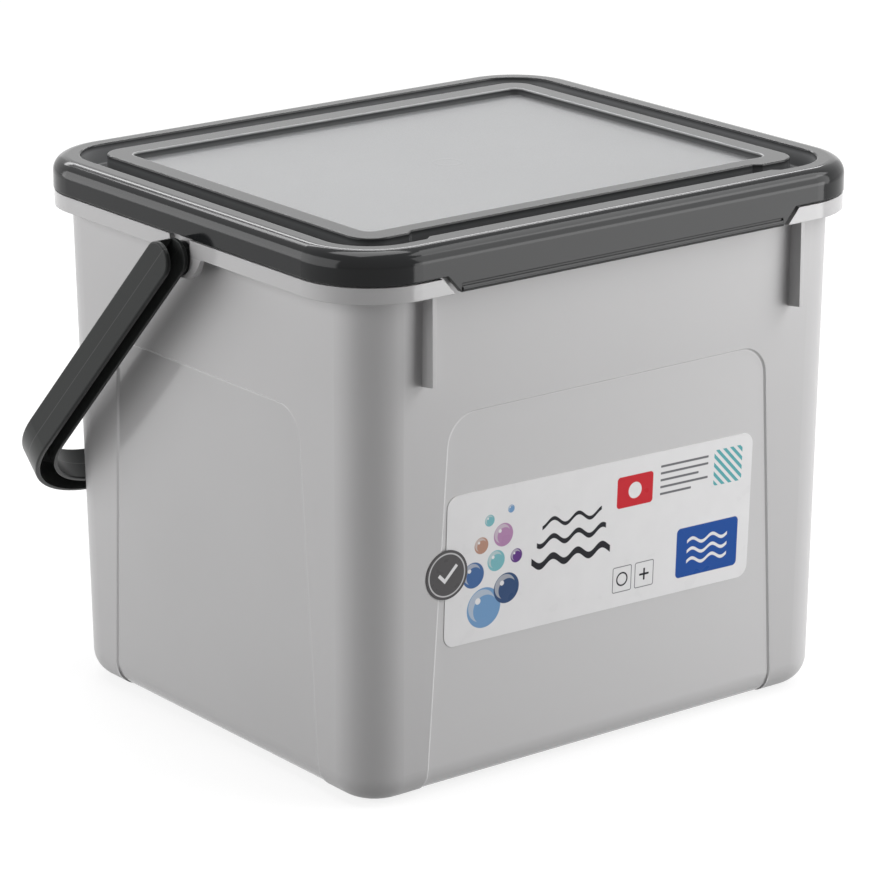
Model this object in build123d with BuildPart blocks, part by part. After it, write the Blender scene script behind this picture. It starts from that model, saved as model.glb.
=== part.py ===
from build123d import *

import os
from math import acos, atan2, cos, hypot, sin

# Closed container without its handle, in millimetres
lid_width = 210.0
lid_depth = 181.5
height = 179.5
corner_radius = 26.0

# Lid: skirt, rim, moat, raised frame and recessed panel
lid_wall = 1.8
lid_web = 1.6
lid_skirt_height = 10.1
shoulder_radius = 5.0
rim_width = 9.0
moat_width = 8.6
moat_depth = 6.5
moat_edge_radius = 0.6
frame_width_side = 7.2
frame_width_end = 8.4
panel_depth = 2.6
panel_corner_radius = 3.5
panel_edge_radius = 0.6

# Front step, where the rim widens and the raised frame gives way above the grip
front_step = 2.0
front_step_width = 137.0
front_step_run = 2.5

# Grip that hangs from the lid's front skirt, with a bead and a groove along its lower edge
grip_drop = 5.6
grip_top_width = 139.2
grip_slant = 5.0
bead_radius = 0.9
bead_rise = 0.5
bead_end_margin = 0.3
bead_groove_width = 0.8
bead_groove_depth = 0.5

# Tub: overhang of the rim round its mouth, draft down to its base, wall and floor
rim_overhang_side = 8.2
rim_overhang_end = 5.95
draft_side = 1.45
draft_end = 3.25
tub_corner_radius = 15.0
wall = 2.0
floor_thickness = 2.2
base_edge_radius = 9.5

# Tub rim: ledge, skirt below it and neck above it
rim_inset = 0.25
shadow_gap = 0.7
ledge_thickness = 1.8
skirt_thickness = 1.8
skirt_drop = 5.1
neck_thickness = 1.8
neck_clearance = 2.2
lid_seat_gap = 0.3

# Cut-out in the front of the tub's skirt, with room round the grip
grip_side_gap = 2.4
grip_back_gap = 0.5

# Ribs beside the cut-out
rib_thickness = 1.4
rib_offset = 2.6
rib_inset = 1.0
rib_length = 32.4
rib_slant = 0.8

# Recessed panels in the tub's four walls
recess_depth = 0.6
recess_slope = 45.0
recess_top = 123.0
recess_corner_radius = 10.0
recess_base_margin = 24.3
recess_top_margin = 31.85

# Handle pivot: lug below the skirt with a notch, hub behind it, bore, boss, pin and its head
lug_lip = 0.9
lug_flank = 3.0
lug_blend = 2.0
hub_lip = 1.5
hub_thickness = 2.2
pin_radius = 3.8
pin_clearance = 0.1
boss_lip = 1.4
boss_clearance = 0.3
boss_gap = 0.4
head_lip = 0.6
head_thickness = 1.3
head_gap = 0.3

# Handle: channel section, reach from the pivot and gap between the crossbar and the line of the tub's mouth
arm_gap = 1.1
arm_overhang = 1.0
channel_width = 8.1
channel_height = 11.8
channel_wall = 1.5
reach = 142.3
bend_radius = 39.2
bar_gap = 5.2
edge_round = 0.6

# Stickers on the front
label_margin = 33.05
label_height = 49.2
label_corner_radius = 4.0
label_centre_x = -2.3
label_centre_height = 71.1
label_tilt = -1.2
sticker_thickness = 0.2
seal_radius = 8.0
seal_rise = 1.1

# Heights, insets and distances that follow from the driving dimensions
mouth_width = lid_width - 2 * rim_overhang_side
mouth_depth = lid_depth - 2 * rim_overhang_end
base_width = mouth_width - 2 * draft_side
base_depth = mouth_depth - 2 * draft_end
lid_bottom = height - lid_skirt_height
ledge_top = lid_bottom - shadow_gap
ledge_bottom = ledge_top - ledge_thickness
skirt_bottom = ledge_top - skirt_drop
neck_top = height - lid_wall - lid_seat_gap
neck_inset = lid_wall + neck_clearance
rim_inner_radius = shoulder_radius / 2
moat_floor = height - moat_depth
moat_underside = moat_floor - lid_web
panel_top = height - panel_depth
plateau_inset = rim_width + moat_width
grip_bottom = lid_bottom - grip_drop
cutout_back = lid_depth / 2 - lid_wall - grip_back_gap
skirt_half_width = lid_width / 2 - rim_inset
inner_edge_radius = base_edge_radius + recess_depth - wall
head_radius = pin_radius + head_lip
pivot_height = ledge_bottom - head_radius - head_gap
boss_radius = pin_radius + boss_lip
notch_radius = boss_radius + boss_clearance
lug_centre = ledge_top - ledge_thickness / 2
lug_radius = lug_centre - pivot_height + notch_radius + lug_lip
lug_span = 2 * (lug_radius + lug_flank)
hub_radius = notch_radius + hub_lip
hub_outer = skirt_half_width - skirt_thickness
hub_inner = hub_outer - hub_thickness
arm_inner = lid_width / 2 + arm_gap
arm_outer = arm_inner + channel_width
bar_inside = reach - channel_width
hang = acos((mouth_depth / 2 + bar_gap) / hypot(bar_inside, channel_height / 2))
hang -= atan2(channel_height / 2, bar_inside)
label_width = base_width - 2 * label_margin


# Half width of the grip's slanted outline at a height
def grip_half_width(z):
    return grip_top_width / 2 - grip_slant * (lid_bottom - z) / grip_drop


# Half depth of the tub's outer wall at a height
def tub_half_depth(z):
    return base_depth / 2 + (mouth_depth - base_depth) / 2 * z / ledge_bottom


def lid_outline(inset, mode=Mode.ADD):
    RectangleRounded(lid_width - 2 * inset, lid_depth - 2 * inset, corner_radius - inset, mode=mode)


# Outline that steps back along the middle of its front edge
def stepped_outline(inset):
    lid_outline(inset)
    edge = inset - lid_depth / 2
    half = front_step_width / 2
    Polygon(
        (-half - front_step_run, edge),
        (-half, edge + front_step),
        (half, edge + front_step),
        (half + front_step_run, edge),
        align=None,
        mode=Mode.SUBTRACT,
    )


def panel_outline(grow, mode=Mode.ADD):
    RectangleRounded(
        lid_width - 2 * (plateau_inset + frame_width_side - grow),
        lid_depth - 2 * (plateau_inset + frame_width_end - grow),
        panel_corner_radius + grow,
        mode=mode,
    )


def base_outline(inset):
    RectangleRounded(base_width - 2 * inset, base_depth - 2 * inset, tub_corner_radius - inset)


def mouth_outline(inset, mode=Mode.ADD):
    RectangleRounded(mouth_width - 2 * inset, mouth_depth - 2 * inset, tub_corner_radius - inset, mode=mode)


# Plane of a tub wall moved in by an inset: local x along the wall, local y up it, local z out of it
def wall_plane(direction, inset):
    base_half = (base_width if direction[0] else base_depth) / 2 - inset
    mouth_half = (mouth_width if direction[0] else mouth_depth) / 2 - inset
    lean = atan2(mouth_half - base_half, ledge_bottom)
    outward = (direction[0] * cos(lean), direction[1] * cos(lean), -sin(lean))
    along = (-direction[1], direction[0], 0)
    return Plane(origin=(direction[0] * base_half, direction[1] * base_half, 0), x_dir=along, z_dir=outward)


# Upright plane across X on one side of the container, facing outwards
def side_plane(side, distance):
    return Plane(origin=(side * distance, 0, 0), x_dir=(0, side, 0), z_dir=(side, 0, 0))


front = (0, -1)
recesses = ((front, base_width), ((0, 1), base_width), ((1, 0), base_depth), ((-1, 0), base_depth))
sides = (1, -1)

# Outer skin of the tub, open at the recessed panels, which run out through the bottom edge
window_overrun = 2 * base_edge_radius

with BuildPart() as tub_skin:
    with BuildSketch(Plane.XY):
        base_outline(0)
    with BuildSketch(Plane.XY.offset(ledge_bottom)):
        mouth_outline(0)
    loft()
    fillet(tub_skin.edges().group_by(Axis.Z)[0], base_edge_radius)
    for direction, wall_width in recesses:
        flare = (recess_top_margin - recess_base_margin) / recess_top
        low_half = wall_width / 2 - recess_base_margin + flare * window_overrun
        top_half = wall_width / 2 - recess_top_margin
        with BuildSketch(wall_plane(direction, recess_depth)) as window:
            Polygon(
                (-low_half, -window_overrun),
                (low_half, -window_overrun),
                (top_half, recess_top),
                (-top_half, recess_top),
                align=None,
            )
            fillet(window.vertices().group_by(Axis.Y)[-1], recess_corner_radius)
        extrude(window.sketch, amount=2 * recess_depth, taper=-recess_slope, mode=Mode.SUBTRACT)
        extrude(window.sketch, amount=-window_overrun, mode=Mode.SUBTRACT)

# Inside of the tub
with BuildPart() as hollow:
    with BuildSketch(Plane.XY.offset(floor_thickness)):
        base_outline(wall)
    with BuildSketch(Plane.XY.offset(ledge_bottom)):
        mouth_outline(wall)
    loft()
    fillet(hollow.edges().group_by(Axis.Z)[0], inner_edge_radius)

with BuildPart() as tub:
    with BuildSketch(Plane.XY):
        base_outline(recess_depth)
    with BuildSketch(Plane.XY.offset(ledge_bottom)):
        mouth_outline(recess_depth)
    loft()
    fillet(tub.edges().group_by(Axis.Z)[0], base_edge_radius)
    add(tub_skin.part)
    add(hollow.part, mode=Mode.SUBTRACT)

    # Ledge, neck inside the lid's rim and skirt below the lid
    with BuildSketch(Plane.XY.offset(ledge_bottom)):
        lid_outline(rim_inset)
        mouth_outline(wall, mode=Mode.SUBTRACT)
    extrude(amount=ledge_thickness)
    with BuildSketch(Plane.XY.offset(ledge_top)):
        lid_outline(neck_inset)
        lid_outline(neck_inset + neck_thickness, mode=Mode.SUBTRACT)
    extrude(amount=neck_top - ledge_top)
    with BuildSketch(Plane.XY.offset(skirt_bottom)):
        lid_outline(rim_inset)
        lid_outline(rim_inset + skirt_thickness, mode=Mode.SUBTRACT)
    extrude(amount=ledge_bottom - skirt_bottom)

    # Cut-out for the grip
    with BuildSketch(Plane.XZ.offset(cutout_back)):
        high = grip_half_width(ledge_top) + grip_side_gap
        low = grip_half_width(skirt_bottom) + grip_side_gap
        Polygon((-low, skirt_bottom), (low, skirt_bottom), (high, ledge_top), (-high, ledge_top), align=None)
    extrude(amount=lid_depth / 2 - cutout_back, mode=Mode.SUBTRACT)

    # Ribs from the ledge down the front wall
    rib_front = lid_depth / 2 - rim_inset - rib_inset
    rib_bottom = ledge_bottom - rib_length
    rib_x = grip_half_width(ledge_top) + grip_side_gap + rib_offset
    for side in sides:
        with BuildSketch(Plane.YZ.offset(side * rib_x - rib_thickness / 2)):
            Polygon(
                (-rib_front, rib_bottom + rib_slant),
                (-rib_front, ledge_bottom),
                (wall / 2 - tub_half_depth(ledge_bottom), ledge_bottom),
                (wall / 2 - tub_half_depth(rib_bottom), rib_bottom),
                align=None,
            )
        extrude(amount=rib_thickness)

    # Lug flush with the skirt, notch open at its top, and hub with the bore for the handle's pin
    for side in sides:
        with BuildSketch(side_plane(side, skirt_half_width)) as lug:
            with Locations((0, lug_centre)):
                Circle(lug_radius)
            with Locations((0, skirt_bottom)):
                Rectangle(lug_span, skirt_drop, align=(Align.CENTER, Align.MIN))
            with Locations((0, ledge_top)):
                Rectangle(lug_span, lug_radius, align=(Align.CENTER, Align.MIN), mode=Mode.SUBTRACT)
            fillet(lug.vertices().group_by(Axis.Y)[0].sort_by(Axis.X)[1:-1], lug_blend)
        extrude(amount=-skirt_thickness)
        with BuildSketch(side_plane(side, skirt_half_width)):
            with Locations((0, pivot_height)):
                Circle(notch_radius)
                Rectangle(2 * notch_radius, ledge_top - pivot_height, align=(Align.CENTER, Align.MIN))
        extrude(amount=-skirt_thickness, mode=Mode.SUBTRACT)
        with BuildSketch(side_plane(side, hub_outer)):
            with Locations((0, pivot_height)):
                Circle(hub_radius)
                Rectangle(2 * hub_radius, ledge_bottom - pivot_height, align=(Align.CENTER, Align.MIN))
                Circle(pin_radius + pin_clearance, mode=Mode.SUBTRACT)
        extrude(amount=-hub_thickness)

with BuildSketch() as moat_edge:
    stepped_outline(rim_width)
with BuildSketch() as moat_back:
    stepped_outline(rim_width - lid_web)
with BuildSketch() as plateau_edge:
    stepped_outline(plateau_inset)
with BuildSketch() as plateau_back:
    stepped_outline(plateau_inset + lid_web)

# Channel up into the lid's rim
with BuildPart() as rim_channel:
    with BuildSketch(Plane.XY.offset(moat_underside)):
        lid_outline(lid_wall)
        add(moat_back.sketch, mode=Mode.SUBTRACT)
    extrude(amount=height - lid_wall - moat_underside)
    channel_top = rim_channel.faces().sort_by(Axis.Z)[-1]
    fillet(channel_top.outer_wire().edges(), rim_inner_radius)

with BuildPart() as lid:
    with BuildSketch(Plane.XY.offset(lid_bottom)):
        lid_outline(0)
    extrude(amount=lid_skirt_height)
    with BuildSketch(Plane.XY.offset(moat_floor)):
        add(moat_edge.sketch)
        add(plateau_edge.sketch, mode=Mode.SUBTRACT)
    extrude(amount=moat_depth, mode=Mode.SUBTRACT)

    # Rounded shoulder and moat edges
    rim_top = lid.faces().filter_by(Plane.XY).group_by(Axis.Z)[-1].sort_by(SortBy.AREA)[0]
    fillet(rim_top.outer_wire().edges(), shoulder_radius)
    rim_top = lid.faces().filter_by(Plane.XY).group_by(Axis.Z)[-1].sort_by(SortBy.AREA)[0]
    fillet(rim_top.inner_wires()[0].edges(), moat_edge_radius)
    plateau_top = lid.faces().filter_by(Plane.XY).group_by(Axis.Z)[-1].sort_by(SortBy.AREA)[-1]
    fillet(plateau_top.outer_wire().edges(), moat_edge_radius)

    # Recessed panel
    with BuildSketch(Plane.XY.offset(panel_top)):
        panel_outline(0)
    extrude(amount=panel_depth, mode=Mode.SUBTRACT)
    frame_top = lid.faces().filter_by(Plane.XY).group_by(Axis.Z)[-1].sort_by(SortBy.AREA)[-1]
    fillet(frame_top.inner_wires()[0].edges(), panel_edge_radius)

    # Underside: below the moat, up into the rim, into the raised frame and under the panel
    with BuildSketch(Plane.XY.offset(lid_bottom)):
        lid_outline(lid_wall)
    extrude(amount=moat_underside - lid_bottom, mode=Mode.SUBTRACT)
    add(rim_channel.part, mode=Mode.SUBTRACT)
    with BuildSketch(Plane.XY.offset(moat_underside)):
        add(plateau_back.sketch)
        panel_outline(lid_web, mode=Mode.SUBTRACT)
    extrude(amount=height - lid_wall - moat_underside, mode=Mode.SUBTRACT)
    with BuildSketch(Plane.XY.offset(moat_underside)):
        panel_outline(lid_web)
    extrude(amount=panel_top - lid_wall - moat_underside, mode=Mode.SUBTRACT)

    # Grip, its bead and the groove above the bead
    with BuildSketch(Plane.XZ.offset(lid_depth / 2)):
        high = grip_half_width(lid_bottom)
        low = grip_half_width(grip_bottom)
        Polygon((-low, grip_bottom), (low, grip_bottom), (high, lid_bottom), (-high, lid_bottom), align=None)
    extrude(amount=-lid_wall)
    bead_half_length = grip_half_width(grip_bottom) - bead_end_margin
    with BuildSketch(Plane.YZ):
        with Locations((-lid_depth / 2 - bead_rise + bead_radius, grip_bottom + bead_radius)):
            Circle(bead_radius)
    extrude(amount=bead_half_length, both=True)
    with BuildSketch(Plane.XZ.offset(lid_depth / 2)):
        with Locations((0, grip_bottom + 2 * bead_radius)):
            Rectangle(2 * bead_half_length, bead_groove_width, align=(Align.CENTER, Align.MIN))
    extrude(amount=-bead_groove_depth, mode=Mode.SUBTRACT)

# Handle frame: local x across, local y from the pivot to the crossbar, local z the side of the web
handle_plane = Plane(origin=(0, 0, pivot_height), x_dir=(1, 0, 0), z_dir=(0, sin(hang), cos(hang)))
swing_plane = Plane(origin=(0, 0, pivot_height), x_dir=(0, cos(hang), -sin(hang)), z_dir=(1, 0, 0))


# Arch of the handle seen along its swing, drawn in by an inset on every side
def arch_sketch(inset):
    overrun = channel_height
    with BuildSketch() as inside:
        with Locations((0, -overrun)):
            inside_height = overrun + reach - channel_width + inset
            Rectangle(2 * (arm_inner + inset), inside_height, align=(Align.CENTER, Align.MIN))
        fillet(inside.vertices().group_by(Axis.Y)[-1], bend_radius - channel_width + inset)
    with BuildSketch() as arch:
        with Locations((0, -overrun)):
            Rectangle(2 * (arm_outer - inset), overrun + reach - inset, align=(Align.CENTER, Align.MIN))
        fillet(arch.vertices().group_by(Axis.Y)[-1], bend_radius - inset)
        add(inside.sketch, mode=Mode.SUBTRACT)
    return arch.sketch


# Hollow of the channel, open at the arms' ends and on the side away from the web
with BuildPart() as groove:
    with BuildSketch(handle_plane):
        add(arch_sketch(channel_wall))
    extrude(amount=channel_height, both=True)
    with BuildSketch(swing_plane):
        with Locations((-channel_height, channel_height / 2 - channel_wall)):
            Rectangle(reach + channel_height, 2 * channel_height, align=(Align.MIN, Align.MAX))
    extrude(amount=arm_outer, both=True, mode=Mode.INTERSECT)

with BuildPart() as handle:
    with BuildSketch(handle_plane):
        add(arch_sketch(0))
    extrude(amount=channel_height / 2, both=True)
    with BuildSketch(swing_plane):
        with Locations((-arm_overhang, 0)):
            Circle(channel_height / 2)
            Rectangle(reach + arm_overhang, channel_height, align=(Align.MIN, Align.CENTER))
    extrude(amount=arm_outer, both=True, mode=Mode.INTERSECT)
    fillet(handle.edges(), edge_round)
    add(groove.part, mode=Mode.SUBTRACT)

    # Boss in the lug's notch, pin through the hub and snap-in head behind it
    pin_start = hub_outer + boss_gap
    head_start = hub_inner - head_gap
    for side in sides:
        for start, end, radius in (
            (arm_inner, pin_start, boss_radius),
            (pin_start, head_start, pin_radius),
            (head_start, head_start - head_thickness, head_radius),
        ):
            with BuildSketch(side_plane(side, start)):
                with Locations((0, pivot_height)):
                    Circle(radius)
            extrude(amount=end - start)

with BuildPart() as label:
    with BuildSketch(wall_plane(front, recess_depth)):
        with Locations(Location((label_centre_x, label_centre_height, 0), (0, 0, label_tilt))):
            RectangleRounded(label_width, label_height, label_corner_radius)
    extrude(amount=sticker_thickness)

with BuildPart() as seal:
    with BuildSketch(wall_plane(front, 0)):
        with Locations((label_centre_x - label_width / 2, label_centre_height + seal_rise)):
            Circle(seal_radius)
    extrude(amount=sticker_thickness)

os.makedirs("parts", exist_ok=True)
for name, piece in (("tub", tub), ("lid", lid), ("handle", handle), ("label", label), ("seal", seal)):
    piece.part.label = name
    export_step(piece.part, f"parts/{name}.step")
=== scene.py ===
import bpy
from math import cos, pi, radians, sin
from mathutils import Matrix, Vector

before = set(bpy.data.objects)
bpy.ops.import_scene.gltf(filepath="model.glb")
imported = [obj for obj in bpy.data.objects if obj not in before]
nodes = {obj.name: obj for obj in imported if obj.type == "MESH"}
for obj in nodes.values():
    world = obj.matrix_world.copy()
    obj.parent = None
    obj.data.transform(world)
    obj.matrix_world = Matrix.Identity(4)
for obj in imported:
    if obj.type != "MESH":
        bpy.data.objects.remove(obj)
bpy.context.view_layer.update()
scene = bpy.context.scene
print("frame loaded:", ", ".join(sorted(nodes)))


class Wire:
    # one socket of a shader, so that sums on it become nodes
    def __init__(self, tree, socket=None):
        self.tree = tree
        self.socket = socket

    def node(self, kind, settings=None, sockets=None, out=0):
        made = self.tree.nodes.new("ShaderNode" + kind)
        for name, value in (settings or {}).items():
            setattr(made, name, value)
        for name, value in (sockets or {}).items():
            if isinstance(value, Wire):
                self.tree.links.new(value.socket, made.inputs[name])
            else:
                made.inputs[name].default_value = value
        return Wire(self.tree, made.outputs[out]) if made.outputs else None

    def maths(self, operation, first, second=0.0):
        return self.node("Math", {"operation": operation}, {0: first, 1: second})

    def __add__(self, other):
        return self.maths("ADD", self, other)

    __radd__ = __add__

    def __sub__(self, other):
        return self.maths("SUBTRACT", self, other)

    def __rsub__(self, other):
        return self.maths("SUBTRACT", other, self)

    def __mul__(self, other):
        return self.maths("MULTIPLY", self, other)

    __rmul__ = __mul__

    def __abs__(self):
        return self.maths("ABSOLUTE", self)

    def __or__(self, other):  # either mask
        return self.maths("MAXIMUM", self, other)

    def fade(self, start, end, low=0.0, high=1.0):
        return self.node("MapRange", {}, {0: self, 1: start, 2: end, 3: low, 4: high})

    def lay(self, under, over):  # this mask lays one colour over another
        return self.node("Mix", {"data_type": "RGBA"}, {0: self, 6: under, 7: over}, out=2)


# plastic: what the finishes share
plastic = {
    "ior": 1.49,
    "bumpDepth": 0.0002,
    "bevelSamples": 6,
    "grainDetail": 2.0,
    "cloudDetail": 3.0,
}


def startFinish(name):
    finish = bpy.data.materials.new(name)
    finish.use_nodes = True
    finish.node_tree.nodes.clear()
    return finish, Wire(finish.node_tree)


def wear(node, finish, pen, shader):  # ends a finish in its shader and puts it on a CAD node
    pen.node("OutputMaterial", {}, {"Surface": shader})
    mesh = nodes[node].data
    mesh.materials.clear()
    mesh.materials.append(finish)


def along(place, axes):
    return [place.node("SeparateXYZ", {}, {0: place}, out=axis) for axis in axes]


def distance(place, point):
    return place.node("VectorMath", {"operation": "DISTANCE"}, {0: place, 1: point}, out="Value")


def noise(place, scale, detail):
    return place.node("TexNoise", {}, {"Vector": place, "Scale": scale, "Detail": detail})


def sway(cloud, amount):  # uneven by an amount, as much down as up
    return amount * (cloud - 0.5)


def between(value, low, high, soft):  # 1 from low to high, with soft ends
    return value.fade(low - soft, low + soft) * value.fade(high + soft, high - soft)


def reach(sideways, endways, corner):  # distance out of a rounded outline, from steps out of its core
    sideways, endways = sideways | 0.0, endways | 0.0
    return sideways.maths("SQRT", sideways * sideways + endways * endways) - corner


def mouldedNormal(pen, edge, strength, height):  # rounded edges with a fine relief
    rounded = pen.node("Bevel", {"samples": plastic["bevelSamples"]}, {"Radius": edge})
    return pen.node("Bump", {}, {
        "Strength": strength,
        "Distance": plastic["bumpDepth"],
        "Height": height,
        "Normal": rounded,
    })


# camera: where the photograph was taken from
camera = {
    "place": (-0.78619, -1.02117, 0.48645),
    "turn": 37.40,
    "down": 17.326,
    "roll": -0.165,
    "lens": 169.02,
    "sensor": 36.0,
    "clip": (0.05, 50.0),
}
eye = bpy.data.cameras.new("eye")
eye.lens = camera["lens"]
eye.sensor_width = camera["sensor"]
eye.clip_start, eye.clip_end = camera["clip"]
eyeObject = bpy.data.objects.new("eye", eye)
scene.collection.objects.link(eyeObject)
eyeObject.matrix_world = (
    Matrix.Translation(camera["place"])
    @ Matrix.Rotation(radians(-camera["turn"]), 4, "Z")
    @ Matrix.Rotation(radians(90 - camera["down"]), 4, "X")
    @ Matrix.Rotation(radians(camera["roll"]), 4, "Z")
)
scene.camera = eyeObject
print("camera set")

# studio: pale floor and world, soft boxes round the object
studio = {
    "floorSize": 12.0,
    "floorColour": (0.24, 0.24, 0.24, 1.0),
    "floorLift": 0.80,
    "worldColour": (1.0, 1.0, 1.0, 1.0),
    "worldLevel": 0.055,
    "boxes": [  # name, place, aim, size, power
        ("stripLow", (0.71, 1.52, 1.12), (0.0, 0.0, 0.18), (1.9, 0.18), 7.2),
        ("stripHigh", (0.66, 1.42, 1.50), (0.0, 0.0, 0.18), (1.9, 0.18), 7.2),
        ("backCard", (0.90, 1.14, 0.52), (0.0, 0.0, 0.18), (1.2, 0.7), 0.9),
        ("ceiling", (0.05, 0.15, 1.25), (0.05, 0.10, 0.0), (0.9, 0.7), 12.0),
        ("leftWall", (-0.85, 0.66, 0.38), (0.0, 0.56, 0.33), (1.7, 0.72), 12.1),
        ("rightTop", (0.85, -0.50, 1.10), (0.0, -0.05, 0.15), (0.8, 0.7), 7.6),
        ("rightTall", (0.74, -0.80, 0.46), (0.0, -0.09, 0.12), (0.85, 0.92), 7.2),
        ("rightCard", (0.31, -0.50, 0.10), (0.0, -0.09, 0.12), (0.42, 0.20), 1.1),
    ],
}


def seen(pen):  # 1 for what is looked at, straight or mirrored, and 0 for what only gives light
    straight = pen.node("LightPath", out="Is Camera Ray")
    mirrored = pen.node("LightPath", out="Is Glossy Ray")
    through = pen.node("LightPath", out="Is Transmission Ray")
    return straight | mirrored | through


scene.view_settings.view_transform = "Standard"
world = bpy.data.worlds.new("studioWorld")
scene.world = world
world.use_nodes = True
world.node_tree.nodes.clear()
pen = Wire(world.node_tree)
level = seen(pen).fade(0.0, 1.0, studio["worldLevel"], 1.0)
sky = pen.node("Background", {}, {"Strength": level, "Color": studio["worldColour"]})
pen.node("OutputWorld", {}, {"Surface": sky})

bpy.ops.object.select_all(action="DESELECT")
bpy.ops.mesh.primitive_plane_add(size=studio["floorSize"], location=(0, 0, 0))
floor = bpy.context.object
floor.name = "floor"
finish, pen = startFinish("floorPaint")
paint = pen.node("BsdfDiffuse", {}, {"Color": studio["floorColour"]})
glow = pen.node("Emission", {}, {"Strength": seen(pen) * studio["floorLift"]})
pen.node("OutputMaterial", {}, {"Surface": pen.node("AddShader", {}, {0: paint, 1: glow})})
floor.data.materials.append(finish)

for name, place, aim, size, power in studio["boxes"]:
    lamp = bpy.data.lights.new(name, "AREA")
    lamp.shape = "RECTANGLE"
    lamp.size, lamp.size_y = size
    lamp.energy = power
    lampObject = bpy.data.objects.new(name, lamp)
    scene.collection.objects.link(lampObject)
    lampObject.location = place
    lampObject.rotation_euler = (Vector(aim) - Vector(place)).to_track_quat("-Z", "Y").to_euler()
    lampObject.visible_camera = False
print("studio lit")

# tub: satin light grey moulding, polished in its recessed panels and on its rim,
# with a painted highlight line along the panels' edges and its front and back panels painted lighter as
# painted light
tub = {
    "colour": (0.452, 0.447, 0.45, 1.0),
    "shade": (0.440, 0.435, 0.438, 1.0),
    "satin": 0.38,
    "polish": 0.12,
    "half": (0.09535, 0.08155),
    "wallDepths": (0.012, 0.010),  # a wall's masks start and are full this far inside the half widths
    "panelPaintedLight": (0.515, 0.51, 0.513, 1.0),  # painted light: the front and back panels are painted lighter, standing in for the light on the front
    "panelTop": 0.1236,
    "panelCorner": 0.0106,
    "panelSoft": 0.0001,
    "margins": (0.0237, 0.03125),  # from the half widths to a panel's sides, at its foot and its top
    "paintedEdgeHighlight": (0.68, 0.675, 0.68, 1.0),
    "paintedEdgeHighlightCover": 0.6,
    "edgeWidth": 0.0008,
    "edgeSoft": 0.0002,
    "rimLow": 0.1635,
    "rimSoft": 0.0002,
    "rounding": 0.00025,
    "grainScale": 1800.0,
    "grain": 0.05,
    "polishedGrain": 0.01,
    "cloudScale": 14.0,
    "cloudRange": (0.35, 0.65),
    "cloudRoughness": 0.05,
}
finish, pen = startFinish("tubPlastic")
place = pen.node("TexCoord", out="Object")
x, y, z = along(place, "XYZ")
margin = z.fade(0.0, tub["panelTop"], *tub["margins"])
above = z - (tub["panelTop"] - tub["panelCorner"])


def panelPair(across, acrossHalf, outward, outwardHalf):  # the panels of two facing walls, and the painted highlight lines along their edges
    beyond = abs(across) - (acrossHalf - margin) + tub["panelCorner"]
    panelReach = reach(beyond, above, tub["panelCorner"])
    start, full = [outwardHalf - depth for depth in tub["wallDepths"]]
    onWall = abs(outward).fade(start, full)
    inPanel = panelReach.fade(tub["panelSoft"], -tub["panelSoft"])
    onEdgeHighlight = between(panelReach, -tub["edgeWidth"], 0.0, tub["edgeSoft"])
    return inPanel * onWall, onEdgeHighlight * onWall


halfWide, halfDeep = tub["half"]
sidePanels, sideEdgeHighlights = panelPair(y, halfDeep, x, halfWide)
endPanels, endEdgeHighlights = panelPair(x, halfWide, y, halfDeep)
onRim = z.fade(tub["rimLow"] - tub["rimSoft"], tub["rimLow"])
polished = sidePanels | endPanels | onRim
cloud = noise(place, tub["cloudScale"], plastic["cloudDetail"])
grain = noise(place, tub["grainScale"], plastic["grainDetail"])
colour = cloud.fade(*tub["cloudRange"]).lay(tub["shade"], tub["colour"])
# painted light: the front and back panels painted lighter than the side panels
colour = endPanels.lay(colour, tub["panelPaintedLight"])
# painted highlight: a light line along the panels' edges, lighter than the plastic, where light catches the
# edges
colour = (tub["paintedEdgeHighlightCover"] * (sideEdgeHighlights | endEdgeHighlights)).lay(colour, tub["paintedEdgeHighlight"])
relief = polished.fade(0.0, 1.0, tub["grain"], tub["polishedGrain"])
wear("tub", finish, pen, pen.node("BsdfPrincipled", {}, {
    "Base Color": colour,
    "Roughness": polished.fade(0.0, 1.0, tub["satin"], tub["polish"]) + sway(cloud, tub["cloudRoughness"]),
    "IOR": plastic["ior"],
    "Normal": mouldedNormal(pen, tub["rounding"], relief, grain),
}))
print("tub finished")

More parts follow.
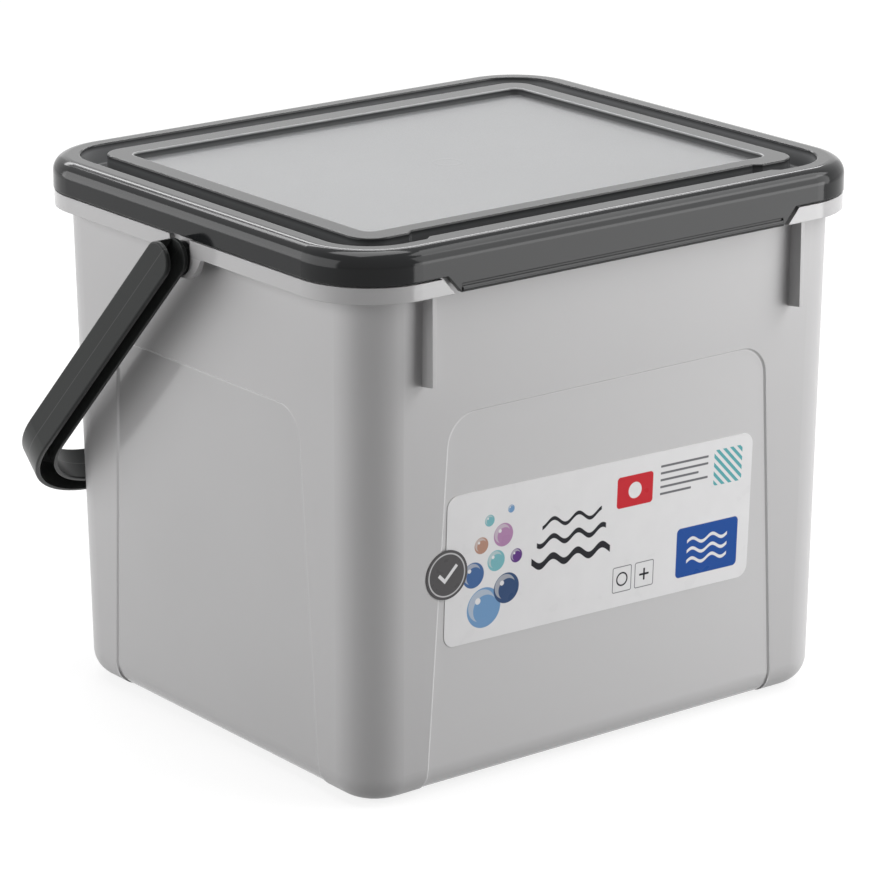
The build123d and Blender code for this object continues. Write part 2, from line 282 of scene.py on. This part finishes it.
# lid: glossy dark moulding with its moat painted lighter as painted light, a painted highlight line on the
# frame's inner edge, and a frosted panel painted lighter as a painted sheen, with a gate mark in its middle
lid = {
    "colour": (0.0095, 0.010, 0.0106, 1.0),
    "bloom": (0.0125, 0.0131, 0.0138, 1.0),
    "roughness": 0.10,
    "specular": 0.21,
    # painted light: the moat's floor and walls are painted lighter than the lid, standing in for light the
    # deep moat doesn't get
    "moatPaintedLight": (0.10, 0.102, 0.104, 1.0),
    "moatWallPaintedLight": (0.22, 0.223, 0.227, 1.0),
    "moatCore": (0.079, 0.06475),
    "moatCorner": 0.017,
    "moatEdge": (0.0006, 0.0003),  # the moat starts and is full this far out of its outline
    "moatWall": (-0.0010, -0.0014),  # its wall ends and its floor starts here
    "moatHeights": (0.1791, 0.1777),  # it starts below the first and is full at the second
    # painted highlight: a light line round the frame's inner edge, over the panel
    "paintedLipHighlight": (0.25, 0.253, 0.257, 1.0),
    "lipCorner": 0.0035,
    "lipWidth": 0.0006,
    "lipSoft": 0.0002,
    "lipRise": (0.0018, 0.0022),  # it starts and is full this far over the panel
    # painted sheen: the panel is painted lighter than the dark plastic, standing in for the sheen on its
    # frosted top
    "panelPaintedLight": (0.115, 0.117, 0.12, 1.0),
    "panelPaintedLightBloom": (0.14, 0.142, 0.146, 1.0),
    "panelRoughness": 0.44,
    "panelSpecular": 0.7,
    "panelHalf": (0.0802, 0.06475),
    "panelTop": 0.1769,
    "panelRange": (-0.0004, 0.0003),  # heights round its top that count as the panel
    "panelSoft": 0.0001,
    "markRadius": 0.0045,
    "markWidth": 0.0010,
    "markSoft": 0.0004,
    "markHeight": 0.8,
    "rounding": 0.0004,
    "grainScale": 2200.0,
    "grain": 0.02,
    "panelGrain": 0.22,
    "bloomRange": (0.3, 0.7),
    "cloudScale": 20.0,
    "cloudRoughness": 0.05,
}
finish, pen = startFinish("lidPlastic")
place = pen.node("TexCoord", out="Object")
x, y, z = along(place, "XYZ")
panelWide, panelDeep = lid["panelHalf"]
panelLow, panelHigh = [lid["panelTop"] + step for step in lid["panelRange"]]
panel = (
    between(x, -panelWide, panelWide, lid["panelSoft"])
    * between(y, -panelDeep, panelDeep, lid["panelSoft"])
    * between(z, panelLow, panelHigh, lid["panelSoft"])
)
moatReach = reach(abs(x) - lid["moatCore"][0], abs(y) - lid["moatCore"][1], lid["moatCorner"])
# painted light: a lighter moat, lighter still on its walls
moat = moatReach.fade(*lid["moatEdge"]) * z.fade(*lid["moatHeights"])
moatPaintedLight = moatReach.fade(*lid["moatWall"]).lay(lid["moatWallPaintedLight"], lid["moatPaintedLight"])
# painted highlight line round the frame's inner edge
lipReach = reach(
    abs(x) - (panelWide - lid["lipCorner"]), abs(y) - (panelDeep - lid["lipCorner"]), lid["lipCorner"],
)
lipLow, lipHigh = [lid["panelTop"] + rise for rise in lid["lipRise"]]
paintedLipLine = between(lipReach, 0.0, lid["lipWidth"], lid["lipSoft"]) * z.fade(lipLow, lipHigh)
markIn, markOut = [lid["markRadius"] + side * lid["markWidth"] / 2 for side in (-1, 1)]
mark = between(distance(place, (0, 0, lid["panelTop"])), markIn, markOut, lid["markSoft"])
cloud = noise(place, lid["cloudScale"], plastic["cloudDetail"])
grain = noise(place, lid["grainScale"], plastic["grainDetail"])
relief = panel.fade(0.0, 1.0, lid["grain"], lid["panelGrain"])
normal = mouldedNormal(pen, lid["rounding"], relief, grain + lid["markHeight"] * mark)
colour = cloud.fade(*lid["bloomRange"]).lay(lid["colour"], lid["bloom"])
colour = moat.lay(colour, moatPaintedLight)
gloss = pen.node("BsdfPrincipled", {}, {
    "Base Color": paintedLipLine.lay(colour, lid["paintedLipHighlight"]),
    "Roughness": lid["roughness"] + sway(cloud, lid["cloudRoughness"]),
    "IOR": plastic["ior"],
    "Specular IOR Level": lid["specular"],
    "Normal": normal,
})
# the frosted panel, with a painted sheen in its lighter colour
frost = pen.node("BsdfPrincipled", {}, {
    "Base Color": grain.fade(*lid["bloomRange"]).lay(lid["panelPaintedLight"], lid["panelPaintedLightBloom"]),
    "Roughness": lid["panelRoughness"] + sway(cloud, lid["cloudRoughness"]),
    "IOR": plastic["ior"],
    "Specular IOR Level": lid["panelSpecular"],
    "Normal": normal,
})
wear("lid", finish, pen, pen.node("MixShader", {}, {0: panel, 1: gloss, 2: frost}))
print("lid finished")

# handle: satin dark moulding, painted lighter in its groove as painted light against its shade, with a
# parting line along the middle of its band
handle = {
    "colour": (0.0145, 0.0158, 0.0154, 1.0),
    "roughness": 0.30,
    "specular": 0.14,
    "pivot": 0.1622,
    "hang": 45.42,
    "core": (0.0750, 0.1031),
    "bend": 0.0392,
    "groovePaintedLight": (0.06, 0.063, 0.062, 1.0),
    "groove": (-0.0067, -0.0014),  # between its walls, from the outside of the band
    "grooveDepths": (0.0051, 0.0047),  # it starts and is full here, across the band
    "grooveSoft": 0.0002,
    "lineColour": (0.10, 0.10, 0.10, 1.0),
    "lineCover": 0.5,
    "lineHalf": 0.0001,
    "lineSoft": 0.00008,
    "rounding": 0.0003,
    "grainScale": 2000.0,
    "grain": 0.05,
    "cloudScale": 24.0,
    "cloudRoughness": 0.08,
}
finish, pen = startFinish("handlePlastic")
place = pen.node("TexCoord", out="Object")
x, y, z = along(place, "XYZ")
hang = radians(handle["hang"])
rise = z - handle["pivot"]
across = y * sin(hang) + rise * cos(hang)
outward = y * cos(hang) - rise * sin(hang)
bandReach = reach(abs(x) - handle["core"][0], outward - handle["core"][1], handle["bend"])
groove = between(bandReach, *handle["groove"], handle["grooveSoft"]) * across.fade(*handle["grooveDepths"])
line = between(across, -handle["lineHalf"], handle["lineHalf"], handle["lineSoft"])
cloud = noise(place, handle["cloudScale"], plastic["cloudDetail"])
grain = noise(place, handle["grainScale"], plastic["grainDetail"])
# painted light: the groove is painted lighter than the band, against its shade
colour = groove.lay(handle["colour"], handle["groovePaintedLight"])
wear("handle", finish, pen, pen.node("BsdfPrincipled", {}, {
    "Base Color": (handle["lineCover"] * line).lay(colour, handle["lineColour"]),
    "Roughness": handle["roughness"] + sway(cloud, handle["cloudRoughness"]),
    "IOR": plastic["ior"],
    "Specular IOR Level": handle["specular"],
    "Normal": mouldedNormal(pen, handle["rounding"], handle["grain"], grain + line),
}))
print("handle finished")

# print on the stickers, in millimetres
printing = {
    "unit": 0.001,
    "edge": 0.08,
    "waveEdge": 0.1,
    "waveEnd": 0.15,
    "cloudDetail": 2.0,
}


def sticker(pen, node, tilt):  # place on a sticker, flat on its face and from its middle
    corners = [Vector(corner) for corner in nodes[node].bound_box]
    place = pen.node("Mapping", {"vector_type": "TEXTURE"}, {
        "Vector": pen.node("TexCoord", out="Object"),
        "Location": sum(corners, Vector()) / len(corners),
        "Rotation": (0, radians(tilt), 0),
        "Scale": 3 * (printing["unit"],),
    })
    return pen.node("VectorMath", {"operation": "MULTIPLY"}, {0: place, 1: (1, 0, 1)})


def inked(span, limit):  # 1 where a span is within a limit, with a soft edge
    return span.fade(limit + printing["edge"], limit - printing["edge"])


def disc(flat, centre, radius):
    u, v = centre
    return inked(distance(flat, (u, 0, v)), radius)


def ring(flat, centre, radius, width):
    u, v = centre
    return inked(abs(distance(flat, (u, 0, v)) - radius), width / 2)


def outside(flat, centre, half, corner):  # distance out of a rounded block's core
    u, v = centre
    core = (half[0] - corner, 1, half[1] - corner)
    step = flat.node("VectorMath", {"operation": "SUBTRACT"}, {0: flat, 1: (u, 0, v)})
    step = flat.node("VectorMath", {"operation": "ABSOLUTE"}, {0: step})
    step = flat.node("VectorMath", {"operation": "SUBTRACT"}, {0: step, 1: core})
    step = flat.node("VectorMath", {"operation": "MAXIMUM"}, {0: step, 1: (0, 0, 0)})
    return flat.node("VectorMath", {"operation": "LENGTH"}, {0: step}, out="Value")


def block(flat, centre, half, corner):
    return inked(outside(flat, centre, half, corner), corner)


def outline(flat, centre, half, corner, width):
    return inked(abs(outside(flat, centre, half, corner) - corner), width / 2)


def swell(x, z, centre, length, pitch, swing, width):  # one wavy stroke
    u, v = centre
    crest = swing * x.maths("SINE", (x - u) * (2 * pi / pitch))
    edge = printing["waveEdge"]
    stroke = abs(z - v - crest).fade(width / 2 + edge, width / 2 - edge)
    return stroke * between(x, u - length / 2, u + length / 2, printing["waveEnd"])


# label: white film with bubbles, waves and fields of colour
label = {
    "tilt": 1.2,
    "white": (0.715, 0.71, 0.715, 1.0),
    "shade": (0.70, 0.695, 0.70, 1.0),
    "ink": (0.014, 0.014, 0.018, 1.0),
    "grey": (0.15, 0.15, 0.16, 1.0),
    "red": (0.52, 0.022, 0.032, 1.0),
    "blue": (0.014, 0.070, 0.29, 1.0),
    "teal": (0.10, 0.36, 0.38, 1.0),
    "bubbles": [  # place, radius, tint
        ((-47.0, -14.0), 6.6, (0.16, 0.30, 0.50, 1.0)),
        ((-38.2, -9.2), 5.0, (0.035, 0.07, 0.16, 1.0)),
        ((-51.5, -2.6), 4.2, (0.06, 0.13, 0.30, 1.0)),
        ((-42.6, 0.6), 3.4, (0.18, 0.42, 0.46, 1.0)),
        ((-34.6, 0.8), 2.3, (0.11, 0.04, 0.20, 1.0)),
        ((-48.6, 6.6), 2.7, (0.42, 0.24, 0.18, 1.0)),
        ((-40.0, 8.6), 3.8, (0.40, 0.22, 0.38, 1.0)),
        ((-45.6, 14.2), 1.9, (0.18, 0.42, 0.46, 1.0)),
        ((-37.2, 16.6), 1.3, (0.16, 0.30, 0.50, 1.0)),
    ],
    "bubbleLayers": [  # shift and size in radii, and which colour
        ((0.0, 0.0), 1.0, "tint"),
        ((-0.12, 0.12), 0.80, "pale"),
        ((0.10, -0.10), 0.72, "tint"),
        ((-0.36, 0.38), 0.16, "white"),
    ],
    "paleShare": 0.55,
    "paleLevel": 0.6,
    "waves": [  # place, length, width
        ((-12.5, 9.0), 24.0, 1.3),
        ((-12.5, 3.2), 28.0, 1.7),
        ((-12.5, -3.4), 32.0, 2.3),
    ],
    "wavePitch": 10.0,
    "waveSwing": 1.3,
    "rules": [  # place, half length
        ((33.5, 19.5), 10.0),
        ((33.5, 17.2), 10.0),
        ((31.5, 14.9), 8.0),
        ((33.5, 12.6), 10.0),
        ((30.0, 10.3), 6.5),
    ],
    "ruleHalf": 0.38,
    "barCorner": 0.2,
    "redField": {"centre": (13.0, 13.6), "half": (7.4, 5.2), "corner": 1.2},
    "redDisc": 2.7,
    "blueField": {"centre": (44.5, -11.5), "half": (13.0, 8.4), "corner": 1.6},
    "blueRises": (3.4, 0.0, -3.4),
    "blueWave": {"length": 17.0, "pitch": 8.5, "swing": 0.9, "width": 1.1},
    "ringSquare": (9.0, -15.5),
    "plusSquare": (18.2, -15.5),
    "square": {"half": (3.8, 4.2), "corner": 0.6, "width": 0.3},
    "ring": {"radius": 2.1, "width": 0.55},
    "plusArm": (2.0, 0.35),
    "stripeField": {"centre": (52.0, 15.0), "half": (6.0, 6.0), "corner": 1.2},
    "stripePitch": 3.0,
    "stripeEdge": (0.46, 0.54),
    "roughness": 0.28,
    "specular": 0.12,
    "cloudScale": 0.12,
    "cloudRange": (0.35, 0.65),
    "cloudRoughness": 0.04,
    "rippleScale": 0.05,
    "rippleDetail": 1.0,
    "rippleStrength": 0.45,
    "rippleDepth": 0.0006,
}
finish, pen = startFinish("labelFilm")
flat = sticker(pen, "label", label["tilt"])
x, z = along(flat, "XZ")
cloud = noise(flat, label["cloudScale"], printing["cloudDetail"])
colour = cloud.fade(*label["cloudRange"]).lay(label["shade"], label["white"])
for (u, v), radius, tint in label["bubbles"]:
    share = label["paleShare"]
    pale = tuple((1 - share) * part + share * label["paleLevel"] for part in tint[:3]) + (1.0,)
    layerColours = {"tint": tint, "pale": pale, "white": label["white"]}
    for (shiftU, shiftV), size, layer in label["bubbleLayers"]:
        centre = (u + shiftU * radius, v + shiftV * radius)
        colour = disc(flat, centre, size * radius).lay(colour, layerColours[layer])
for centre, length, width in label["waves"]:
    wave = swell(x, z, centre, length, label["wavePitch"], label["waveSwing"], width)
    colour = wave.lay(colour, label["ink"])
for centre, half in label["rules"]:
    rule = block(flat, centre, (half, label["ruleHalf"]), label["barCorner"])
    colour = rule.lay(colour, label["grey"])
colour = block(flat, **label["redField"]).lay(colour, label["red"])
colour = disc(flat, label["redField"]["centre"], label["redDisc"]).lay(colour, label["white"])
colour = block(flat, **label["blueField"]).lay(colour, label["blue"])
u, v = label["blueField"]["centre"]
for rise in label["blueRises"]:
    colour = swell(x, z, (u, v + rise), **label["blueWave"]).lay(colour, label["white"])
for centre in (label["ringSquare"], label["plusSquare"]):
    colour = outline(flat, centre, **label["square"]).lay(colour, label["grey"])
colour = ring(flat, label["ringSquare"], **label["ring"]).lay(colour, label["ink"])
for half in (label["plusArm"], label["plusArm"][::-1]):
    colour = block(flat, label["plusSquare"], half, label["barCorner"]).lay(colour, label["ink"])
slant = pen.maths("FRACT", (x + z) * (1 / label["stripePitch"]))
stripes = slant.fade(*label["stripeEdge"]) * block(flat, **label["stripeField"])
colour = stripes.lay(colour, label["teal"])
ripple = noise(flat, label["rippleScale"], label["rippleDetail"])
wear("label", finish, pen, pen.node("BsdfPrincipled", {}, {
    "Base Color": colour,
    "Roughness": label["roughness"] + sway(cloud, label["cloudRoughness"]),
    "IOR": plastic["ior"],
    "Specular IOR Level": label["specular"],
    "Normal": pen.node("Bump", {}, {
        "Strength": label["rippleStrength"],
        "Distance": label["rippleDepth"],
        "Height": ripple,
    }),
}))
print("label printed")

# seal: dark round sticker with a pale ring and a tick
seal = {
    "tilt": 0.0,
    "dark": (0.088, 0.085, 0.087, 1.0),
    "pale": (0.70, 0.695, 0.70, 1.0),
    "ring": {"radius": 6.9, "width": 0.45},
    "ringCover": 0.7,
    "tickTurn": 45.0,
    "tickArms": [((-2.5, 4.6), (-1.4, -0.3)), ((-2.5, -1.4), (-1.4, 2.4))],  # from and to, along and across
    "roughness": 0.28,
    "specular": 0.12,
    "cloudScale": 0.3,
    "cloudRoughness": 0.05,
}
finish, pen = startFinish("sealFilm")
flat = sticker(pen, "seal", seal["tilt"])
x, z = along(flat, "XZ")
turn = radians(seal["tickTurn"])
rising = cos(turn) * x + sin(turn) * z
falling = cos(turn) * z - sin(turn) * x
pale = seal["ringCover"] * ring(flat, (0, 0), **seal["ring"])
for lengthways, crossways in seal["tickArms"]:
    arm = between(rising, *lengthways, printing["edge"]) * between(falling, *crossways, printing["edge"])
    pale = pale | arm
cloud = noise(flat, seal["cloudScale"], printing["cloudDetail"])
wear("seal", finish, pen, pen.node("BsdfPrincipled", {}, {
    "Base Color": pale.lay(seal["dark"], seal["pale"]),
    "Roughness": seal["roughness"] + sway(cloud, seal["cloudRoughness"]),
    "IOR": plastic["ior"],
    "Specular IOR Level": seal["specular"],
}))
print("seal printed")
